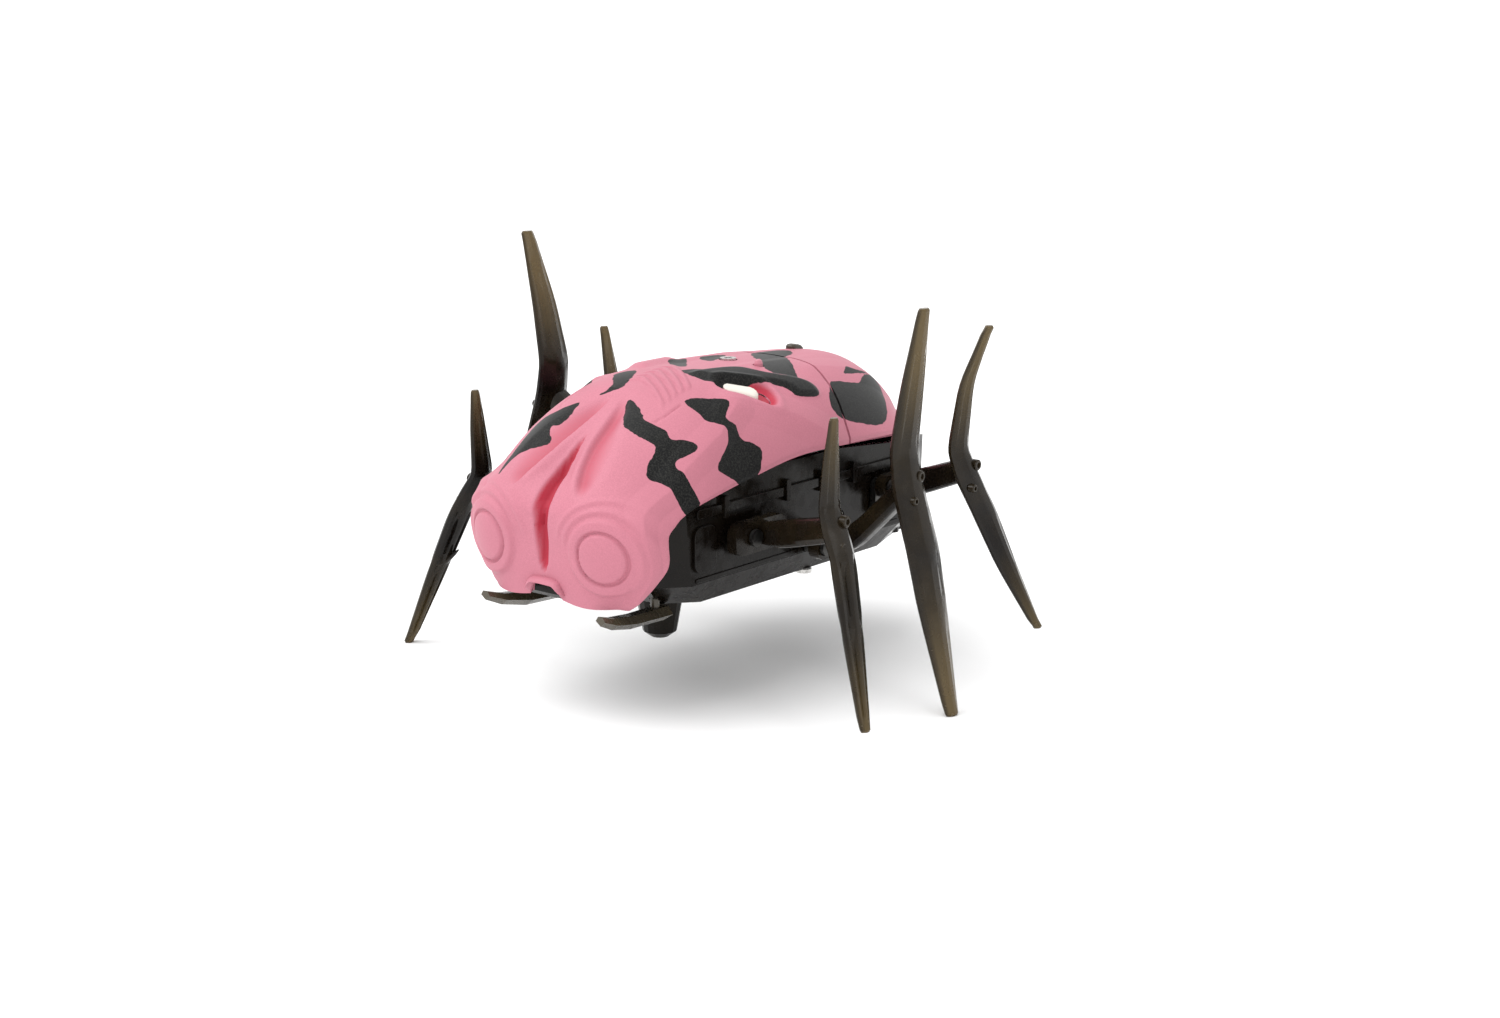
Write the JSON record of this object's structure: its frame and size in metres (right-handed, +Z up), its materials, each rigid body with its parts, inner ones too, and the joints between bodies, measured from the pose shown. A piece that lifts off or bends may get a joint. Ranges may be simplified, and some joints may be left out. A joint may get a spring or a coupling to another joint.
{
  "type": "hexapod spider robot",
  "caption": "Small walking spider robot: camouflaged shell over a smoke-brown hull with cranked legs that step in two alternating tripods, driven by a motor and gear train.",
  "frame": {"origin": "on the ground under the middle of the robot, the centre of the bounding box's bottom", "axes": "the robot looks along -Y, +X is its own left side, +Z is up"},
  "size_m": [0.1646, 0.1446, 0.1155],
  "materials": {
    "pink_shell": "satin moulded pink with a printed black camouflage",
    "smoke_plastic": "glossy translucent smoke-brown moulding",
    "steel": "bright plated steel",
    "brass": "plain brass",
    "white_nylon": "unpainted white nylon",
    "black_plastic": "plain black moulding",
    "board_green": "green solder resist",
    "cell_jacket": "printed film jacket without lettering"
  },
  "bodies": {
    "hull": {"chassis_tub": "smoke_plastic", "top_shell": "pink_shell", "rear_cover": "pink_shell", "belly_cover": "smoke_plastic", "front_skid": "smoke_plastic", "mandible_left": "smoke_plastic", "mandible_right": "smoke_plastic", "shell_screw": "steel", "shell_peg": "pink_shell", "switch_body": "white_nylon", "circuit_board": "board_green", "motor": "steel", "gearbox_frame": "black_plastic", "battery_1": "cell_jacket", "battery_2": "cell_jacket", "battery_3": "cell_jacket", "contact_front": "brass", "contact_rear": "brass", "belly_screw_front_left": "steel", "belly_screw_front_right": "steel", "belly_screw_middle_left": "steel", "belly_screw_middle_right": "steel", "door_screw": "steel"},
    "switch_slider": {"switch_slider": "white_nylon"},
    "main_axle": {"main_axle": "steel", "drive_gear": "white_nylon", "gear_middle_left": "white_nylon", "gear_middle_right": "white_nylon", "crank_middle_left": "steel", "crank_middle_right": "steel"},
    "reduction_gear_2": {"reduction_gear_2": "white_nylon"},
    "reduction_gear_1": {"reduction_gear_1": "white_nylon"},
    "motor_pinion": {"motor_pinion": "brass"},
    "idler_front_left": {"idler_front_left": "white_nylon"},
    "idler_rear_left": {"idler_rear_left": "white_nylon"},
    "crank_front_left": {"crank_front_left": "steel", "gear_front_left": "white_nylon"},
    "follower_front_left": {"follower_front_left": "steel"},
    "leg_front_left": {"leg_front_left": "smoke_plastic"},
    "follower_middle_left": {"follower_middle_left": "steel"},
    "leg_middle_left": {"leg_middle_left": "smoke_plastic"},
    "crank_rear_left": {"crank_rear_left": "steel", "gear_rear_left": "white_nylon"},
    "follower_rear_left": {"follower_rear_left": "steel"},
    "leg_rear_left": {"leg_rear_left": "smoke_plastic"},
    "idler_front_right": {"idler_front_right": "white_nylon"},
    "idler_rear_right": {"idler_rear_right": "white_nylon"},
    "crank_front_right": {"crank_front_right": "steel", "gear_front_right": "white_nylon"},
    "follower_front_right": {"follower_front_right": "steel"},
    "leg_front_right": {"leg_front_right": "smoke_plastic"},
    "follower_middle_right": {"follower_middle_right": "steel"},
    "leg_middle_right": {"leg_middle_right": "smoke_plastic"},
    "crank_rear_right": {"crank_rear_right": "steel", "gear_rear_right": "white_nylon"},
    "follower_rear_right": {"follower_rear_right": "steel"},
    "leg_rear_right": {"leg_rear_right": "smoke_plastic"}
  },
  "joints": [
    {"name": "walk", "type": "hinge", "parent": "hull", "child": "main_axle", "pos_m": [0, 0, 0.043], "axis": [1, 0, 0], "continuous": true},
    {"name": "reduction_gear_2_spin", "type": "hinge", "parent": "hull", "child": "reduction_gear_2", "pos_m": [0, -0.01314, 0.04913], "axis": [1, 0, 0], "continuous": true},
    {"name": "reduction_gear_1_spin", "type": "hinge", "parent": "hull", "child": "reduction_gear_1", "pos_m": [0, -0.02609, 0.05026], "axis": [1, 0, 0], "continuous": true},
    {"name": "motor_pinion_spin", "type": "hinge", "parent": "hull", "child": "motor_pinion", "pos_m": [0, -0.03909, 0.05026], "axis": [1, 0, 0], "continuous": true},
    {"name": "idler_front_left_spin", "type": "hinge", "parent": "hull", "child": "idler_front_left", "pos_m": [0, -0.015, 0.043], "axis": [1, 0, 0], "continuous": true},
    {"name": "idler_rear_left_spin", "type": "hinge", "parent": "hull", "child": "idler_rear_left", "pos_m": [0, 0.015, 0.043], "axis": [1, 0, 0], "continuous": true},
    {"name": "crank_front_left_spin", "type": "hinge", "parent": "hull", "child": "crank_front_left", "pos_m": [0, -0.03, 0.043], "axis": [1, 0, 0], "continuous": true},
    {"name": "follower_front_left_spin", "type": "hinge", "parent": "hull", "child": "follower_front_left", "pos_m": [0, -0.019, 0.043], "axis": [1, 0, 0], "continuous": true},
    {"name": "leg_front_left_pin", "type": "hinge", "parent": "crank_front_left", "child": "leg_front_left", "pos_m": [0, -0.03, 0.0465], "axis": [1, 0, 0], "continuous": true},
    {"name": "follower_middle_left_spin", "type": "hinge", "parent": "hull", "child": "follower_middle_left", "pos_m": [0, 0.011, 0.043], "axis": [1, 0, 0], "continuous": true},
    {"name": "leg_middle_left_pin", "type": "hinge", "parent": "main_axle", "child": "leg_middle_left", "pos_m": [0, 0, 0.038], "axis": [1, 0, 0], "continuous": true},
    {"name": "crank_rear_left_spin", "type": "hinge", "parent": "hull", "child": "crank_rear_left", "pos_m": [0, 0.03, 0.043], "axis": [1, 0, 0], "continuous": true},
    {"name": "follower_rear_left_spin", "type": "hinge", "parent": "hull", "child": "follower_rear_left", "pos_m": [0, 0.041, 0.043], "axis": [1, 0, 0], "continuous": true},
    {"name": "leg_rear_left_pin", "type": "hinge", "parent": "crank_rear_left", "child": "leg_rear_left", "pos_m": [0, 0.03, 0.0495], "axis": [1, 0, 0], "continuous": true},
    {"name": "idler_front_right_spin", "type": "hinge", "parent": "hull", "child": "idler_front_right", "pos_m": [0, -0.015, 0.043], "axis": [1, 0, 0], "continuous": true},
    {"name": "idler_rear_right_spin", "type": "hinge", "parent": "hull", "child": "idler_rear_right", "pos_m": [0, 0.015, 0.043], "axis": [1, 0, 0], "continuous": true},
    {"name": "crank_front_right_spin", "type": "hinge", "parent": "hull", "child": "crank_front_right", "pos_m": [0, -0.03, 0.043], "axis": [1, 0, 0], "continuous": true},
    {"name": "follower_front_right_spin", "type": "hinge", "parent": "hull", "child": "follower_front_right", "pos_m": [0, -0.019, 0.043], "axis": [1, 0, 0], "continuous": true},
    {"name": "leg_front_right_pin", "type": "hinge", "parent": "crank_front_right", "child": "leg_front_right", "pos_m": [0, -0.03, 0.0395], "axis": [1, 0, 0], "continuous": true},
    {"name": "follower_middle_right_spin", "type": "hinge", "parent": "hull", "child": "follower_middle_right", "pos_m": [0, 0.011, 0.043], "axis": [1, 0, 0], "continuous": true},
    {"name": "leg_middle_right_pin", "type": "hinge", "parent": "main_axle", "child": "leg_middle_right", "pos_m": [0, 0, 0.048], "axis": [1, 0, 0], "continuous": true},
    {"name": "crank_rear_right_spin", "type": "hinge", "parent": "hull", "child": "crank_rear_right", "pos_m": [0, 0.03, 0.043], "axis": [1, 0, 0], "continuous": true},
    {"name": "follower_rear_right_spin", "type": "hinge", "parent": "hull", "child": "follower_rear_right", "pos_m": [0, 0.041, 0.043], "axis": [1, 0, 0], "continuous": true},
    {"name": "leg_rear_right_pin", "type": "hinge", "parent": "crank_rear_right", "child": "leg_rear_right", "pos_m": [0, 0.03, 0.0365], "axis": [1, 0, 0], "continuous": true},
    {"name": "switch_slide", "type": "slide", "parent": "hull", "child": "switch_slider", "axis": [0.5736, 0.8192, 0], "range_m": [0, 0.003]}
  ],
  "couplings": [
    {"joint": "reduction_gear_2_spin", "follows": "walk", "ratio": -2.625},
    {"joint": "reduction_gear_1_spin", "follows": "walk", "ratio": 5.9062},
    {"joint": "motor_pinion_spin", "follows": "walk", "ratio": -13.289},
    {"joint": "idler_front_left_spin", "follows": "walk", "ratio": -1},
    {"joint": "idler_rear_left_spin", "follows": "walk", "ratio": -1},
    {"joint": "crank_front_left_spin", "follows": "walk", "ratio": 1},
    {"joint": "follower_front_left_spin", "follows": "walk", "ratio": 1},
    {"joint": "leg_front_left_pin", "follows": "walk", "ratio": -1},
    {"joint": "follower_middle_left_spin", "follows": "walk", "ratio": 1},
    {"joint": "leg_middle_left_pin", "follows": "walk", "ratio": -1},
    {"joint": "crank_rear_left_spin", "follows": "walk", "ratio": 1},
    {"joint": "follower_rear_left_spin", "follows": "walk", "ratio": 1},
    {"joint": "leg_rear_left_pin", "follows": "walk", "ratio": -1},
    {"joint": "idler_front_right_spin", "follows": "walk", "ratio": -1},
    {"joint": "idler_rear_right_spin", "follows": "walk", "ratio": -1},
    {"joint": "crank_front_right_spin", "follows": "walk", "ratio": 1},
    {"joint": "follower_front_right_spin", "follows": "walk", "ratio": 1},
    {"joint": "leg_front_right_pin", "follows": "walk", "ratio": -1},
    {"joint": "follower_middle_right_spin", "follows": "walk", "ratio": 1},
    {"joint": "leg_middle_right_pin", "follows": "walk", "ratio": -1},
    {"joint": "crank_rear_right_spin", "follows": "walk", "ratio": 1},
    {"joint": "follower_rear_right_spin", "follows": "walk", "ratio": 1},
    {"joint": "leg_rear_right_pin", "follows": "walk", "ratio": -1}
  ]
}
